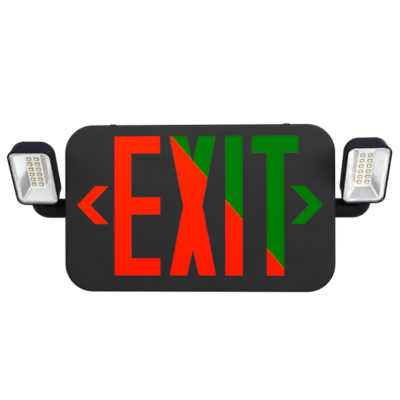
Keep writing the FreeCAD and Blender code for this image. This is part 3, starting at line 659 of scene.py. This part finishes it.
def white_board():
    """Matt white with a slight glow, and clear from underneath."""
    material, tree, shader, place = new_material("matt_white_board", Roughness=0.9)
    tree.links.new(between(tree, cloud(tree, place, 60), "#e2e2e2", "#e9e9e9"),
                   shader.inputs["Base Color"])
    ray = add(tree, "ShaderNodeLightPath").outputs
    seen = add(tree, "ShaderNodeMath", links={0: ray["Is Camera Ray"], 1: ray["Is Glossy Ray"]},
               operation="MAXIMUM").outputs[0]
    glow = add(tree, "ShaderNodeMath", {1: floor_glow}, {0: seen}, operation="MULTIPLY").outputs[0]
    shader.inputs["Emission Color"].default_value = linear("#ffffff")
    tree.links.new(glow, shader.inputs["Emission Strength"])
    underneath = add(tree, "ShaderNodeNewGeometry").outputs["Backfacing"]
    upper_side = add(tree, "ShaderNodeMath", {0: 1.0}, {1: underneath}, operation="SUBTRACT")
    tree.links.new(upper_side.outputs[0], shader.inputs["Alpha"])
    return material


bpy.ops.object.select_all(action="DESELECT")
bpy.ops.mesh.primitive_circle_add(vertices=128, radius=floor_radius, fill_type="NGON",
                                  location=(centre.x, centre.y, cad_low.z - floor_drop))
studio_floor = bpy.context.object
studio_floor.name = "studio_floor"
bpy.ops.object.transform_apply(location=True)
studio_floor.data.materials.append(white_board())
print("floor at", round(1000 * (cad_low.z - floor_drop)), "mm")

# %% [markdown]
# ## World
# The world gives soft light from all round. To the camera it is white. In gloss and glass it is
# as strong, and it lights matt surfaces at a small fraction of that, so that the lamps can
# shape them. A real studio has a darker room behind the camera. Every ray but the camera's
# meets it as a soft blue-grey patch in front of the sign.

# %% Studio world
matt_level = 0.06
room_way = (0.208, -0.978, 0.0)     # from the sign to the middle of the patch
room_core = math.radians(12)        # full colour inside this angle
room_edge = math.radians(26)        # white outside this one

world = bpy.data.worlds.new("studio")
bpy.context.scene.world = world
world.use_nodes = True
sky = world.node_tree
ray = add(sky, "ShaderNodeLightPath").outputs
shiny = add(sky, "ShaderNodeMath",
            links={0: ray["Is Glossy Ray"], 1: ray["Is Transmission Ray"]},
            operation="MAXIMUM").outputs[0]
plain = add(sky, "ShaderNodeMath", links={0: ray["Is Camera Ray"], 1: shiny},
            operation="MAXIMUM").outputs[0]
level = add(sky, "ShaderNodeMapRange", {"To Min": matt_level, "To Max": 1.0}, {"Value": plain})
sky_way = add(sky, "ShaderNodeTexCoord").outputs["Generated"]
towards_room = add(sky, "ShaderNodeVectorMath", {1: room_way}, {0: sky_way},
                   operation="DOT_PRODUCT").outputs["Value"]
room = add(sky, "ShaderNodeMapRange",
           {"From Min": math.cos(room_edge), "From Max": math.cos(room_core)},
           {"Value": towards_room}).outputs["Result"]
not_camera = add(sky, "ShaderNodeMath", {0: 1.0}, {1: ray["Is Camera Ray"]},
                 operation="SUBTRACT").outputs[0]
room_share = add(sky, "ShaderNodeMath", links={0: room, 1: not_camera},
                 operation="MULTIPLY").outputs[0]
room_colour = add(sky, "ShaderNodeValToRGB", links={"Fac": room_share})
room_colour.color_ramp.elements[0].color = linear("#ffffff")
room_colour.color_ramp.elements[1].color = linear("#4a5361")
sky.links.new(room_colour.outputs["Color"], sky.nodes["Background"].inputs["Color"])
sky.links.new(level.outputs["Result"], sky.nodes["Background"].inputs["Strength"])
print("matt surfaces see the world at", matt_level, "of its strength")

# %% [markdown]
# ## Lamps
# A long strip light hangs just above and in front. It draws the light edge along the top of the
# box and the heads, and makes the face fade towards its foot. A soft box at each side, the
# right one much stronger, lights the face across, so that each head throws a soft shadow on
# its end of the box. One more stands behind, and lights the back and the floor.

# %% Soft boxes
def soft_box(name, place, width, height, watts):
    """Rectangular lamp aimed at the sign."""
    light = bpy.data.lights.new(name, "AREA")
    light.shape = "RECTANGLE"
    light.size = width
    light.size_y = height
    light.energy = watts
    lamp = bpy.data.objects.new(name, light)
    lamp.location = place
    lamp.visible_camera = False
    lamp.rotation_euler = (centre - Vector(place)).to_track_quat("-Z", "Y").to_euler()
    bpy.context.scene.collection.objects.link(lamp)
    print(name, "of", watts, "W")


soft_box("strip_light", place=(0.0, -0.22, 0.27), width=0.8, height=0.12, watts=1.65)
soft_box("right_soft_box", place=(0.9, -0.7, 0.4), width=0.45, height=0.45, watts=12.5)
soft_box("left_soft_box", place=(-0.9, -0.7, 0.4), width=0.45, height=0.45, watts=4.5)
soft_box("rear_soft_box", place=(0.6, 1.1, 0.35), width=0.7, height=0.7, watts=12.0)

# %% [markdown]
# ## Camera
# The camera stands a little right of the middle, three quarters of a metre away, and looks
# almost straight at the legend.

# %% Camera
film_width = 36                         # mm
focal_length = 57.8                     # mm
camera_place = (0.0258, -0.748, 0.0084)
camera_turns = (90.05, 0.13, 2.04)      # degrees about X, Y and Z

camera_data = bpy.data.cameras.new("camera")
camera_data.sensor_width = film_width
camera_data.lens = focal_length
camera = bpy.data.objects.new("camera", camera_data)
camera.location = camera_place
camera.rotation_euler = [math.radians(a) for a in camera_turns]
bpy.context.scene.collection.objects.link(camera)
bpy.context.scene.camera = camera
bpy.context.scene.view_settings.view_transform = "Standard"
print("camera to the middle of the sign in mm:", round(1000 * (camera.location - centre).length))
